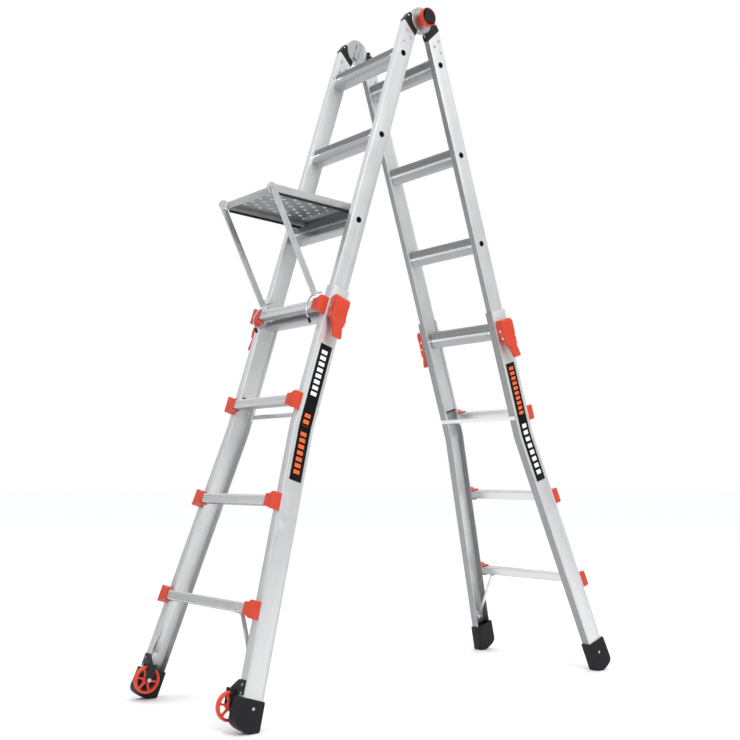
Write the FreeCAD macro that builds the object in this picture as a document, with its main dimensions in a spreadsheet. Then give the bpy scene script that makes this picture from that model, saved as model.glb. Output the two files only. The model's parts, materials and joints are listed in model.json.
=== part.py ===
import FreeCAD, Part
import os
import Sketcher
from FreeCAD import Vector, Rotation, Placement

# Telescoping A-frame ladder with a clip-on work platform.
# Frame: X across the ladder, front (climbing side) towards -Y, Z up, floor at Z = 0.
# Each ladder section is drawn flat in its own frame: Z = -s, where s is the distance
# down the rail from the hinge axis, and Y = -n (front) or +n (back), where n is the
# distance outwards from the hinge axis. The section is then tilted about the hinge axis.

VALUES = [
    ("rail_tilt", 17.731), ("hinge_height", 2174.0), ("hinge_offset", 9.93),
    ("rung_pitch", 304.8), ("first_rung", 152.4), ("rail_line", 38.0),
    ("inner_depth", 57.0), ("inner_face", 181.5), ("inner_width", 22.3), ("inner_wall", 2.2),
    ("inner_top_front", 40.0), ("inner_top_back", 69.0), ("inner_bottom", 1335.0),
    ("outer_depth", 66.4), ("outer_face", 186.5), ("outer_width", 29.7), ("outer_wall", 2.4),
    ("web_wall", 2.5), ("lip_wall", 2.0), ("lip_depth", 8.2),
    ("outer_top", 996.0), ("lip_end", 1400.0), ("bend", 1438.5), ("flare_slope", 0.12997), ("outer_end", 2258.0),
    ("rung_back", 18.0), ("rung_front", 55.0), ("rung_half", 28.5), ("rung_corner", 7.0),
    ("groove_half", 4.0), ("groove_depth", 2.2), ("rung_wall", 2.0),
    ("bush_radius", 8.5), ("bush_flange", 9.9), ("bush_bore", 6.4), ("bush_proud", 1.2),
    ("disc_radius", 43.0), ("pivot_radius", 10.0), ("running_gap", 0.05), ("rod_radius", 4.0),
    ("knob_radius", 30.0), ("knob_hub", 17.0), ("knob_in", 200.0), ("knob_out", 217.0),
    ("knob_floor", 204.5), ("knob_recess", 27.8), ("button_in", 213.5), ("button_out", 221.5),
    ("bar_back", 71.5), ("bar_front", 95.5), ("bar_half", 14.5), ("bar_wall", 1.8), ("bar_short", 6.0),
    ("cap_length", 44.0), ("cap_front", 98.5), ("cap_half", 25.0), ("cap_small", 18.0),
    ("cross_half", 7.0), ("cross_in", 1.2), ("cross_out", 4.7), ("cross_front", 1384.0), ("cross_back", 1370.0),
        ("lever_in", 12.0), ("lever_out", 64.0), ("cheek", 3.0), ("lock_level", 1066.8),
    ("lever_axis_x", 205.5), ("lever_axis_s", 1092.0), ("lever_pin", 3.0),
    ("pin_radius", 6.0), ("pin_gap", 0.3), ("link_radius", 2.5), ("link_x", 200.0),
    ("wheel_radius", 41.0), ("wheel_width", 16.0), ("wheel_x", 233.5), ("wheel_n", 71.0),
    ("wheel_s", 2236.5), ("axle_radius", 4.0), ("brace_wide", 14.0), ("brace_thick", 4.0), ("sidebar_nose", 16.0),
    ("deck_y", -560.7), ("deck_z", -652.6), ("deck_tilt", 2.6), ("deck_length", 323.0),
    ("deck_half", 132.7), ("sidebar_in", 133.0), ("sidebar_out", 137.0), ("sidebar_top", 12.0),
    ("sidebar_low", -10.5), ("trim_low", -17.8), ("deck_top", 6.5), ("deck_under", 4.0),
    ("deck_hole", 4.6), ("leg_angle", 26.9), ("leg_in", 137.4), ("leg_out", 143.4), ("leg_half", 9.5),
    ("leg_length", 336.0), ("wire_radius", 2.5), ("wire_x", 132.4), ("tip_radius", 4.6), ("tip_length", 18.0),
]
values = dict(VALUES)

doc = FreeCAD.newDocument("ladder")
sheet = doc.addObject("Spreadsheet::Sheet", "Params")
for row, (alias, number) in enumerate(VALUES, 1):
    sheet.set("A%d" % row, alias)
    sheet.set("B%d" % row, str(number))
    sheet.setAlias("B%d" % row, alias)
doc.recompute()


class E:
    """A number together with the sheet expression that gives it."""

    def __init__(self, v, s):
        self.v = float(v)
        self.s = s

    def __add__(self, o):
        o = num(o)
        return E(self.v + o.v, "(%s + %s)" % (self.s, o.s))

    __radd__ = __add__

    def __sub__(self, o):
        o = num(o)
        return E(self.v - o.v, "(%s - %s)" % (self.s, o.s))

    def __rsub__(self, o):
        return num(o) - self

    def __mul__(self, o):
        o = num(o)
        return E(self.v * o.v, "(%s * %s)" % (self.s, o.s))

    __rmul__ = __mul__

    def __truediv__(self, o):
        o = num(o)
        return E(self.v / o.v, "(%s / %s)" % (self.s, o.s))

    def __neg__(self):
        return self * -1


def num(o):
    return o if isinstance(o, E) else E(o, "(%.6f)" % float(o))


def P(name):
    return E(values[name], "Params." + name)


exports = []
counter = [0]


def fresh(stem):
    counter[0] += 1
    return "%s_%d" % (stem, counter[0])


def new_body(label):
    body = doc.addObject("PartDesign::Body", fresh("Body"))
    body.Label = label
    body.AllowCompound = True
    exports.append(body)
    return body


def sketch(body, plane, offset, loops, circles=()):
    sk = body.newObject("Sketcher::SketchObject", fresh("Sketch"))
    base = [f for f in body.Origin.OriginFeatures if f.Role == plane][0]
    sk.AttachmentSupport = [(base, "")]
    sk.MapMode = "FlatFace"
    sk.AttachmentOffset = Placement(Vector(0, 0, offset.v), Rotation())
    sk.setExpression("AttachmentOffset.Base.z", offset.s)
    for loop in loops:
        first = sk.GeometryCount
        n = len(loop)
        lines = []
        for i in range(n):
            a, b = loop[i], loop[(i + 1) % n]
            lines.append(Part.LineSegment(Vector(a[0].v, a[1].v, 0), Vector(b[0].v, b[1].v, 0)))
        sk.addGeometry(lines, False)
        sk.addConstraint([Sketcher.Constraint("Coincident", first + i, 2, first + (i + 1) % n, 1) for i in range(n)])
        for i in range(n):
            for kind, value in (("DistanceX", loop[i][0]), ("DistanceY", loop[i][1])):
                c = sk.addConstraint(Sketcher.Constraint(kind, -1, 1, first + i, 1, value.v))
                sk.setExpression("Constraints[%d]" % c, value.s)
    for cx, cy, r in circles:
        g = sk.addGeometry(Part.Circle(Vector(cx.v, cy.v, 0), Vector(0, 0, 1), r.v), False)
        for kind, value in (("DistanceX", cx), ("DistanceY", cy)):
            c = sk.addConstraint(Sketcher.Constraint(kind, -1, 1, g, 3, value.v))
            sk.setExpression("Constraints[%d]" % c, value.s)
        c = sk.addConstraint(Sketcher.Constraint("Radius", g, r.v))
        sk.setExpression("Constraints[%d]" % c, r.s)
    return sk


# The plane's normal: +X for YZ, -Y for XZ, +Z for XY.
PLANES = {"X": ("YZ_Plane", 1), "Y": ("XZ_Plane", -1), "Z": ("XY_Plane", 1)}


def extrude(body, axis, lo, hi, loops, circles=(), cut=False):
    """Pad or pocket between two coordinates along one axis of the body."""
    lo, hi = num(lo), num(hi)
    if lo.v > hi.v:
        lo, hi = hi, lo
    plane, sign = PLANES[axis]
    if sign > 0:
        offset = hi if cut else lo
    else:
        offset = -lo if cut else -hi
    loops = [[(num(x), num(y)) for x, y in loop] for loop in loops]
    circles = [(num(x), num(y), num(r)) for x, y, r in circles]
    sk = sketch(body, plane, offset, loops, circles)
    f = body.newObject("PartDesign::Pocket" if cut else "PartDesign::Pad", fresh("Pocket" if cut else "Pad"))
    f.Profile = sk
    length = hi - lo
    f.Length = length.v
    f.setExpression("Length", length.s)
    f.Reversed = False
    body.Tip = f
    return f


def place_section(obj, side):
    tilt = 1 if side == "B" else -1
    obj.Placement = Placement(Vector(0, 0, values["hinge_height"]), Rotation(Vector(tilt, 0, 0), values["rail_tilt"]))
    obj.setExpression("Placement.Base.y", "Params.hinge_offset")
    obj.setExpression("Placement.Base.z", "Params.hinge_height")
    obj.setExpression("Placement.Rotation.Angle", "Params.rail_tilt * 1 deg")


class Section:
    """Adds features to one body in a ladder section's (x, n, s) coordinates."""

    def __init__(self, label, side):
        self.side = side
        self.body = new_body(label)
        self.f = 1 if side == "B" else -1
        place_section(self.body, side)

    def along_x(self, x0, x1, loops=(), circles=(), cut=False):
        loops = [[(num(n) * self.f, -num(s)) for n, s in loop] for loop in loops]
        circles = [(num(n) * self.f, -num(s), r) for n, s, r in circles]
        return extrude(self.body, "X", x0, x1, loops, circles, cut)

    def along_n(self, n0, n1, loops=(), circles=(), cut=False):
        loops = [[(num(x), -num(s)) for x, s in loop] for loop in loops]
        circles = [(num(x), -num(s), r) for x, s, r in circles]
        return extrude(self.body, "Y", num(n0) * self.f, num(n1) * self.f, loops, circles, cut)

    def along_s(self, s0, s1, loops=(), circles=(), cut=False):
        loops = [[(num(x), num(n) * self.f) for x, n in loop] for loop in loops]
        return extrude(self.body, "Z", -num(s0), -num(s1), loops, circles, cut)


def rect(a0, a1, b0, b1):
    return [(a0, b0), (a1, b0), (a1, b1), (a0, b1)]


def level(k):
    return P("first_rung") + P("rung_pitch") * k


def flare(s):
    """How far the rail has moved outwards at distance s below the bend."""
    return (num(s) - P("bend")) * P("flare_slope")


def strip(sx, xa, xb, s0, s1):
    """A band in the x-s plane that follows the rail round its bend."""
    xa, xb = num(xa) * sx, num(xb) * sx
    d = flare(s1) * sx
    return [(xa, s0), (xb, s0), (xb, P("bend")), (xb + d, s1), (xa + d, s1), (xa, P("bend"))]


def fixed(label, side, kind):
    """A boolean of primitives drawn in a section's frame."""
    obj = doc.addObject(kind, fresh("Solid"))
    obj.Label = label
    exports.append(obj)
    place_section(obj, side)
    return obj


SIDES = (("left", -1), ("right", 1))
n0, n1 = P("rail_line") - P("inner_depth") / 2, P("rail_line") + P("inner_depth") / 2
m0, m1 = P("rail_line") - P("outer_depth") / 2, P("rail_line") + P("outer_depth") / 2
inner_out = P("inner_face")
inner_in = P("inner_face") - P("inner_width")
outer_out = P("outer_face")
outer_in = P("outer_face") - P("outer_width")
e = P("rail_line")

for side, name in (("F", "front"), ("B", "back")):
    # ---------------------------------------------------------------- inner section
    for hand, sx in SIDES:
        r = Section("%s_inner_rail_%s" % (name, hand), side)
        r.along_x(inner_in * sx, inner_out * sx,
                  [[(n0, P("inner_top_back")), (n1, P("inner_top_front")), (n1, P("inner_bottom")), (n0, P("inner_bottom"))]])
        w = P("inner_wall")
        r.along_x((inner_in + w) * sx, (inner_out - w) * sx,
                  [rect(n0 + w, n1 - w, 10, P("inner_bottom") + 5)], cut=True)
        r.along_x((inner_in - 5) * sx, (inner_out + 5) * sx, (),
                  [(e, level(k), P("bush_radius") + 0.1) for k in range(4)], cut=True)

    rungs = Section("%s_inner_rungs" % name, side)
    a, b, h, c = P("rung_back"), P("rung_front"), P("rung_half"), P("rung_corner")
    g, d = P("groove_half"), P("groove_depth")
    outlines, hollows = [], []
    for k in range(4):
        z = level(k)
        outlines.append([(a + c, z - h), (b - c, z - h), (b, z - h + c), (b, z - g), (b - d, z - g + 1.5), (b - d, z + g - 1.5),
                         (b, z + g), (b, z + h - c), (b - c, z + h), (a + c, z + h), (a, z + h - c), (a, z + g),
                         (a + d, z + g - 1.5), (a + d, z - g + 1.5), (a, z - g), (a, z - h + c)])
        t = P("rung_wall")
        hollows.append([(a + c, z - h + t), (b - c, z - h + t), (b - d - t, z - h + c + 1), (b - d - t, z + h - c - 1),
                        (b - c, z + h - t), (a + c, z + h - t), (a + d + t, z + h - c - 1), (a + d + t, z - h + c + 1)])
    rungs.along_x(-inner_in, inner_in, outlines)
    rungs.along_x(-inner_in - 1, inner_in + 1, hollows, cut=True)

    bush = Section("%s_rung_bushings" % name, side)
    for hand, sx in SIDES:
        bush.along_x((inner_in - 2.5) * sx, (inner_out + 0.1) * sx, (), [(e, level(k), P("bush_radius")) for k in range(4)])
        bush.along_x(inner_out * sx, (inner_out + P("bush_proud")) * sx, (), [(e, level(k), P("bush_flange")) for k in range(4)])
    for hand, sx in SIDES:
        bush.along_x((inner_in - 5) * sx, (inner_out + 5) * sx, (), [(e, level(k), P("bush_bore")) for k in range(4)], cut=True)

    plug = Section("%s_rail_end_plugs" % name, side)
    for hand, sx in SIDES:
        w = P("inner_wall") + 0.2
        plug.along_x(inner_in * sx, inner_out * sx, [rect(n0, n1, P("inner_bottom"), P("inner_bottom") + 5)])
        plug.along_x((inner_in + w) * sx, (inner_out - w) * sx,
                     [rect(n0 + w, n1 - w, P("inner_bottom") - 14, P("inner_bottom") + 1)])

    # Hinge arms: the front plates lie outside the single thick back plate.
    arms = Section("%s_hinge_arms" % name, side)
    layers = ((161.6, 165.6), (174.9, 178.9)) if side == "F" else ((166.0, 174.5),)
    for hand, sx in SIDES:
        for x0, x1 in layers:
            arms.along_x(x0 * sx, x1 * sx, (), [(0, 0, P("disc_radius"))])
            arms.along_x(x0 * sx, x1 * sx, [[(3, 38), (12.2, 64), (12.2, 122), (63.6, 122), (63.6, 46), (52, 14), (36, 8)]])
    arms.along_x(-185, 185, (), [(0, 0, P("pivot_radius") + P("running_gap"))], cut=True)

    cover = Section("%s_hinge_covers" % name, side)
    for hand, sx in SIDES:
        cover.along_x(inner_in * sx, inner_out * sx,
                      [[(44.2, 4), (56, 4), (67.5, 36.5), (66.9, 39.3), (10.3, 68.2), (7.5, 62), (7.5, 43.8), (25.5, 36.2), (38.2, 22.6)]])
        cover.along_x((inner_in + 2.2) * sx, (inner_out - 2.4) * sx,
                      [[(36, 0), (53.3, -2), (65, 37.5), (64.5, 44), (8, 74), (-5, 72), (-5, 30)]], cut=True)

    if side == "B":
        for hand, sx in SIDES:
            cover.along_x(inner_in * sx, inner_out * sx,
                          [[(-5, 48.6), (-3, 46.2), (3, 52), (8.5, 59.5), (9.2, 66), (9.2, 72.5), (6.2, 72.5), (4.5, 66.5), (0, 56.5)]])
            cover.along_x((inner_in - 1) * sx, (inner_out - 2.4) * sx, [[(-8, 40), (7.0, 40), (7.0, 58), (9.3, 68.5), (9.3, 76), (-8, 76)]], cut=True)

    riv = Section("%s_inner_rivets" % name, side)
    spots = [(52, 73), (51, 112), (28.5, 90)]
    for hand, sx in SIDES:
        riv.along_x((inner_in - 1.4) * sx, inner_in * sx, (), [(n, s, 5.6) for n, s in spots] + [(56.2, 17, 3.2)])
        riv.along_x(inner_out * sx, (inner_out + 1.5) * sx, (), [(n, s, 5.6) for n, s in spots] + [(56.2, 17, 3.2)])
        riv.along_x((inner_in - 0.5) * sx, (inner_out + 0.5) * sx, (), [(n, s, 2.4) for n, s in spots] + [(56.2, 17, 1.8)])

    if side == "F":
        piv = Section("hinge_pivot_pins", side)
        for hand, sx in SIDES:
            piv.along_x(159.0 * sx, 202.5 * sx, (), [(0, 0, P("pivot_radius"))])
            piv.along_x(155.0 * sx, 205 * sx, (), [(0, 0, P("rod_radius") + P("running_gap"))], cut=True)
        ring = Section("hinge_knob_rings", side)
        for hand, sx in SIDES:
            ring.along_x(179.2 * sx, (P("knob_in") + 1) * sx, (), [(0, 0, P("knob_hub"))])
            ring.along_x(P("knob_in") * sx, P("knob_out") * sx, (), [(0, 0, P("knob_radius"))])
            ring.along_x(P("knob_floor") * sx, (P("knob_out") + 2) * sx, (), [(0, 0, P("knob_recess"))], cut=True)
            ring.along_x(175 * sx, 202.7 * sx, (), [(0, 0, P("pivot_radius") + 0.02)], cut=True)
            ring.along_x(195 * sx, 210 * sx, (), [(0, 0, P("rod_radius") + P("running_gap"))], cut=True)
        for hand, sx in SIDES:
            but = Section("hinge_button_%s" % hand, side)
            lobes = ((0, -13.0), (11.26, 6.5), (-11.26, 6.5))
            but.along_x(P("button_in") * sx, P("button_out") * sx, (), [(0, 0, 18.0)])
            for n, s in lobes:
                but.along_x(P("button_in") * sx, P("button_out") * sx, (), [(n, s, 13.5)])
            lock = Section("hinge_lock_bar_%s" % hand, side)
            lock.along_x(152 * sx, 158.4 * sx, [[(-9, -27), (-5, -33), (5, -33), (9, -27), (9, 27), (5, 33), (-5, 33), (-9, 27)]])
            lock.along_x(158 * sx, P("button_in") * sx, (), [(0, 0, P("rod_radius"))])
            lock.along_x(158 * sx, 161.2 * sx, (), [(0, -25, 3), (0, 25, 3)])

    # ---------------------------------------------------------------- outer section
    top, end = P("outer_top"), P("outer_end")
    for hand, sx in SIDES:
        r = Section("%s_outer_rail_%s" % (name, hand), side)
        r.along_n(m0, m1, [strip(sx, outer_out - P("web_wall"), outer_out, top, end)])
        for a0, a1 in ((m0, m0 + P("outer_wall")), (m1 - P("outer_wall"), m1)):
            r.along_n(a0, a1, [strip(sx, outer_in, outer_out, top, end)])
        for a0, a1 in ((m0, m0 + P("lip_depth")), (m1 - P("lip_depth"), m1)):
            r.along_n(a0, a1, [rect(outer_in * sx, (outer_in + P("lip_wall")) * sx, top, P("lip_end"))])
        r.along_x((outer_out - 8) * sx, (outer_out + 5) * sx, (), [(e, P("lock_level"), P("pin_radius") + P("pin_gap"))], cut=True)

    bars = Section("%s_outer_rungs" % name, side)
    groups = (((3, 4), num(0)), ((5,), flare(level(5))), ((6,), flare(level(6))))
    for ks, shift in groups:
        half = outer_out + shift - P("bar_short")
        p0, p1, q = P("bar_back"), P("bar_front"), P("bar_half")
        bars.along_x(-half, half, [[(p0 + 1.5, level(k) - q), (p1 - 2, level(k) - q), (p1, level(k) - q + 2), (p1, level(k) + q - 2),
                                    (p1 - 2, level(k) + q), (p0 + 1.5, level(k) + q), (p0, level(k) + q - 1.5), (p0, level(k) - q + 1.5)] for k in ks])
    for ks, shift in groups:
        half = outer_out + shift
        t = P("bar_wall")
        bars.along_x(-half, half, [rect(P("bar_back") + t, P("bar_front") - t, level(k) - P("bar_half") + t, level(k) + P("bar_half") - t) for k in ks], cut=True)

    caps = Section("%s_rung_caps" % name, side)
    for hand, sx in SIDES:
        loops = []
        for ks, shift in groups:
            for k in ks:
                z = level(k)
                up, low = (num(0), num(0)) if k < 5 else (P("cap_half") * P("flare_slope"), P("cap_half") * P("flare_slope"))
                xo = outer_out + shift - 0.3
                xi = xo - P("cap_length")
                loops.append([(xo * sx - up * sx, z - P("cap_half")), (xo * sx + low * sx, z + P("cap_half")),
                              ((xo - 12) * sx + low * sx, z + P("cap_half")), ((xo - 26) * sx, z + P("cap_small")), (xi * sx, z + P("cap_small")),
                              (xi * sx, z - P("cap_small")), ((xo - 26) * sx, z - P("cap_small")), ((xo - 12) * sx - up * sx, z - P("cap_half"))])
        caps.along_n(P("bar_back") - 0.2, P("cap_front"), loops)
    for hand, sx in SIDES:
        for ks, shift in groups:
            xo = outer_out + shift
            caps.along_x((xo - P("cap_length") - 5) * sx, (xo - P("bar_short") + 0.2) * sx,
                         [rect(P("bar_back") - 2, P("bar_front") + 0.15, level(k) - P("bar_half") - 0.15, level(k) + P("bar_half") + 0.15) for k in ks], cut=True)

    cross = Section("%s_crossbar" % name, side)
    mid = P("cross_%s" % name)
    cross.along_n(P("cross_in"), P("cross_out"), [rect(-outer_out + 2, outer_out - 2, mid - P("cross_half"), mid + P("cross_half"))])

    # Flat braces from under the lowest rung to a pad on the inside of the rail's web.
    low = level(6) + P("bar_half")
    fn = 1 if side == "B" else -1
    pieces = []
    for hand, sx in SIDES:
        pads = doc.addObject("PartDesign::Body", fresh("Pads"))
        pads.AllowCompound = True
        extrude(pads, "Y", *sorted((69 * fn, 92 * fn)), [rect(170 * sx, 190 * sx, -low, -(low + 3))])
        web = outer_out - P("web_wall")
        pad = [((web - 6 + flare(2138)) * sx, -2138), ((web - 0.1 + flare(2138)) * sx, -2138),
               ((web - 0.1 + flare(2168)) * sx, -2168), ((web - 6 + flare(2168)) * sx, -2168)]
        extrude(pads, "Y", *sorted((36 * fn, 54 * fn)), [pad])
        p, q = Vector(186.0 * sx, 76.5 * fn, -(low.v + 1.0)), Vector(272.0 * sx, 44.9 * fn, -2154.0)
        along = (q - p).normalize()
        wide = (Vector(0, 1, 0) - along * along.y).normalize()
        thick = wide.cross(along)
        flat = doc.addObject("Part::Box", fresh("Flat"))
        flat.setExpression("Length", "Params.brace_thick")
        flat.setExpression("Width", "Params.brace_wide")
        flat.Height = (q - p).Length
        turn = Rotation(thick, wide, along, "ZYX")
        flat.Placement = Placement(p - thick * (values["brace_thick"] / 2) - wide * (values["brace_wide"] / 2), turn)
        pieces += [pads, flat]
    braces = fixed("%s_braces" % name, side, "Part::MultiFuse")
    braces.Shapes = pieces

    label = Section("%s_side_labels" % name, side)
    for hand, sx in SIDES:
        label.along_n(e - 23, e + 20, [strip(sx, outer_out, outer_out + 0.5, 1182, 1604)])

    # Feet: rubber boots cut to the ladder's tilt, with a flat patch on the floor.
    boots = []
    for hand, sx in SIDES:
        boot = doc.addObject("PartDesign::Body", fresh("Boot"))
        boot.AllowCompound = True
        fn = 1 if side == "B" else -1
        lip = 2205.0 if side == "F" else 2190.0
        floor = [(1.0, lip), (1.0, 2277.0), (3.0, 2283.393), (24.0, 2290.107), (28.0, 2290.9), (34.0, 2291.1), (41.0, 2290.5), (48.0, 2289.2),
                 (55.0, 2287.4), (62.0, 2285.4), (69.0, 2282.6), (75.0, 2279.4), (79.5, 2275.6), (82.6, 2270.0), (84.0, 2262.0), (81.0, lip)]
        extrude(boot, "X", 240 * sx, 320 * sx, [[(fn * n, -s) for n, s in floor]])
        xa = outer_in - 3.6
        xb = outer_out + 3.4
        inner = [((xa + flare(2180)) * sx, -2180), ((xb + flare(2180)) * sx, -2180), ((xb + flare(2295)) * sx, -2295), ((xa + flare(2295)) * sx, -2295)]
        extrude(boot, "Y", -100, 100, [rect(200 * sx, 340 * sx, -2170, -2300), inner], cut=True)
        hole = [((outer_in - 0.2 + flare(2180)) * sx, -2180), ((outer_out + 0.2 + flare(2180)) * sx, -2180),
                ((outer_out + 0.2 + flare(P("outer_end") + 0.3)) * sx, -(P("outer_end") + 0.3)), ((outer_in - 0.2 + flare(P("outer_end") + 0.3)) * sx, -(P("outer_end") + 0.3))]
        lo, hi = (m0 - 0.2) * fn, (m1 + 0.2) * fn
        extrude(boot, "Y", lo, hi, [hole], cut=True)
        boots.append(boot)
    feet = fixed("%s_feet" % name, side, "Part::MultiFuse")
    feet.Shapes = boots

    brk = Section("%s_lock_brackets" % name, side)
    for hand, sx in SIDES:
        brk.along_x(outer_out * sx, (outer_out + 2.5) * sx, [rect(e - 22, e + 22, 1050, 1095)])
        for a0, a1 in ((e - 22, e - 18.5), (e + 18.5, e + 22)):
            brk.along_n(a0, a1, [[(188 * sx, 1066), (203 * sx, 1087.4), (207.4 * sx, 1087.6), (210.1 * sx, 1090.5), (210.1 * sx, 1093.5),
                                  (207.4 * sx, 1096.4), (200 * sx, 1095.6), (188 * sx, 1092)]])
    for hand, sx in SIDES:
        brk.along_x((outer_out - 1) * sx, (outer_out + 4) * sx, (), [(e, P("lock_level"), P("pin_radius") + P("pin_gap"))], cut=True)
        brk.along_n(e - 25, e + 25, (), [(P("lever_axis_x") * sx, P("lever_axis_s"), P("lever_pin") + P("running_gap"))], cut=True)

    riv = Section("%s_outer_rivets" % name, side)
    for hand, sx in SIDES:
        lx = P("lever_axis_x") * sx
        riv.along_n(P("lever_in") - 1.5, P("lever_out") + 1.5, (), [(lx, P("lever_axis_s"), P("lever_pin"))])
        for a0, a1 in ((P("lever_in") - 1.7, P("lever_in") - 0.3), (P("lever_out") + 0.3, P("lever_out") + 1.7)):
            riv.along_n(a0, a1, (), [(lx, P("lever_axis_s"), 4.6)])
        riv.along_x((outer_out + flare(2228) + 1) * sx, (outer_out + flare(2228) + 5.0) * sx, (), [(36, 2228, 4.2)])
        if side == "F":
            riv.along_n(m1 - 1, m1 + 4.6, (), [((outer_out + flare(2175) - 12) * sx, 2175, 3.6), ((outer_out + flare(2197) - 12) * sx, 2197, 3.6)])

    if side == "F":
        wb = Section("wheel_brackets", side)
        axle = Section("wheel_axles", side)
        arm = [(57, 2190.2), (86, 2190.2), (86.5, 2195), (80.5, 2234), (77.5, 2242.5), (71, 2246), (64.5, 2242.5), (61.5, 2234), (56, 2196)]
        for hand, sx in SIDES:
            wb.along_n(m1 + 0.1, m1 + 3.1, [[(219.2 * sx, 2189), (244 * sx, 2166.5), (250 * sx, 2163), ((outer_out + flare(2162) - 1) * sx, 2162),
                                                   ((outer_out + flare(2200) - 1) * sx, 2200), (247.8 * sx, 2203), (247.8 * sx, 2192.6), (219.2 * sx, 2192.6)]])
            wb.along_x(244.8 * sx, 247.8 * sx, [arm])
            wb.along_x(219.2 * sx, 222.2 * sx, [arm])
            wb.along_x(219.2 * sx, 247.8 * sx, [rect(57, 86, 2190.2, 2192.6)])
            wb.along_x(219.2 * sx, 247.8 * sx, [[(83, 2190.2), (86, 2190.2), (86.4, 2195.6), (83.4, 2195.6)]])
        for hand, sx in SIDES:
            wb.along_x(210 * sx, 255 * sx, (), [(P("wheel_n"), P("wheel_s"), P("axle_radius") + 0.02)], cut=True)
            axle.along_x(215.5 * sx, 251 * sx, (), [(P("wheel_n"), P("wheel_s"), P("axle_radius"))])
            axle.along_x(215 * sx, 218.9 * sx, (), [(P("wheel_n"), P("wheel_s"), 6.5)])
            axle.along_x(248.1 * sx, 251.5 * sx, (), [(P("wheel_n"), P("wheel_s"), 6.5)])
        for hand, sx in SIDES:
            wh = Section("wheel_%s" % hand, side)
            cn, cs = P("wheel_n"), P("wheel_s")
            half = P("wheel_width") / 2
            wx = P("wheel_x")
            wh.along_x((wx - half) * sx, (wx + half) * sx, (), [(cn, cs, P("wheel_radius")), (cn, cs, P("wheel_radius") - 8.5)])
            wh.along_x((wx - half) * sx, (wx + half) * sx, (), [(cn, cs, 9.5)])
            spokes = ((1.0, 0.0), (0.5, 0.8660254), (-0.5, 0.8660254), (-1.0, 0.0), (-0.5, -0.8660254), (0.5, -0.8660254))
            for dn, ds in spokes:
                wn, ws = -ds * 2.6, dn * 2.6
                loops = [(cn + dn * 6 + wn, cs + ds * 6 + ws), (cn + dn * 35 + wn, cs + ds * 35 + ws),
                         (cn + dn * 35 - wn, cs + ds * 35 - ws), (cn + dn * 6 - wn, cs + ds * 6 - ws)]
                wh.along_x((wx - 5) * sx, (wx + 5) * sx, [loops])
            wh.along_x((wx - half - 1) * sx, (wx + half + 1) * sx, (), [(cn, cs, P("axle_radius") + P("running_gap"))], cut=True)

    # Rocker locks: a chunky lever on the rail's outer face that pulls a pin out of the rung.
    for hand, sx in SIDES:
        lev = Section("%s_lock_lever_%s" % (name, hand), side)
        o = values["outer_face"]
        outline = [(0.8, 1036), (8, 1030), (22, 1029), (28, 1036), (29.5, 1050), (27.8, 1070), (28.3, 1090), (33, 1112), (43, 1148), (45, 1158),
                   (42, 1163), (36, 1163), (33, 1157), (14, 1106), (6, 1101), (3.8, 1095), (0.8, 1080)]
        lev.along_n(P("lever_in"), P("lever_out"), [[((outer_out + x) * sx, s) for x, s in outline]])
        cavity = [(-2, 1041), (10, 1034), (21, 1033), (24.5, 1040), (25.5, 1052), (24.0, 1070), (24.8, 1090), (26, 1100), (12, 1104), (-2, 1100)]
        lev.along_n(P("lever_in") + P("cheek"), P("lever_out") - P("cheek"), [[((outer_out + x) * sx, s) for x, s in cavity]], cut=True)
        lev.along_x((outer_out - 5) * sx, (outer_out + 60) * sx,
                    [[(5, 1102), (12.0, 1102), (23, 1128), (23, 1170), (5, 1170)], [(71, 1102), (64.0, 1102), (53, 1128), (53, 1170), (71, 1170)]], cut=True)
        lev.along_n(P("lever_in") - 2, P("lever_out") + 2, (), [(P("lever_axis_x") * sx, P("lever_axis_s"), P("lever_pin") + P("running_gap")),
                                                              (P("link_x") * sx, P("lock_level"), P("link_radius") + 1.0)], cut=True)
        pin = Section("%s_lock_pin_%s" % (name, hand), side)
        pin.along_x((inner_out + 1.5) * sx, 196 * sx, (), [(e, P("lock_level"), P("pin_radius"))])
        pin.along_n(e - 8, e + 8, [rect(194 * sx, 205 * sx, P("lock_level") - 7, P("lock_level") + 7)])
        pin.along_n(P("lever_in") - 1.6, P("lever_out") + 1.6, (), [(P("link_x") * sx, P("lock_level"), P("link_radius"))])
        for a0, a1 in ((P("lever_in") - 1.8, P("lever_in") - 0.4), (P("lever_out") + 0.4, P("lever_out") + 1.8)):
            pin.along_n(a0, a1, (), [(P("link_x") * sx, P("lock_level"), 4.8)])

# -------------------------------------------------------------------- work platform


def place_deck(obj):
    obj.Placement = Placement(Vector(0, 0, 0), Rotation(Vector(-1, 0, 0), values["deck_tilt"]))
    obj.setExpression("Placement.Base.y", "Params.hinge_offset + Params.deck_y")
    obj.setExpression("Placement.Base.z", "Params.hinge_height + Params.deck_z")
    obj.setExpression("Placement.Rotation.Angle", "Params.deck_tilt * 1 deg")


frame = new_body("platform_frame")
place_deck(frame)
for hand, sx in SIDES:
    extrude(frame, "X", P("sidebar_in") * sx, P("sidebar_out") * sx, [rect(0, P("deck_length"), P("sidebar_low"), P("sidebar_top"))])
    extrude(frame, "X", P("sidebar_in") * sx, P("sidebar_out") * sx, (), [(0, 0, P("sidebar_nose"))])
extrude(frame, "X", -P("sidebar_in") - 1, P("sidebar_in") + 1, [rect(13, 17, -8, P("sidebar_top"))])
extrude(frame, "X", -P("sidebar_in") - 1, P("sidebar_in") + 1, [rect(P("deck_length") - 4, P("deck_length"), -8, P("sidebar_top"))])
for hand, sx in SIDES:
    extrude(frame, "X", (P("sidebar_in") - 2) * sx, (P("sidebar_out") + 2) * sx, (), [(0, 0, P("running_gap") + 3.0)], cut=True)

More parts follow.
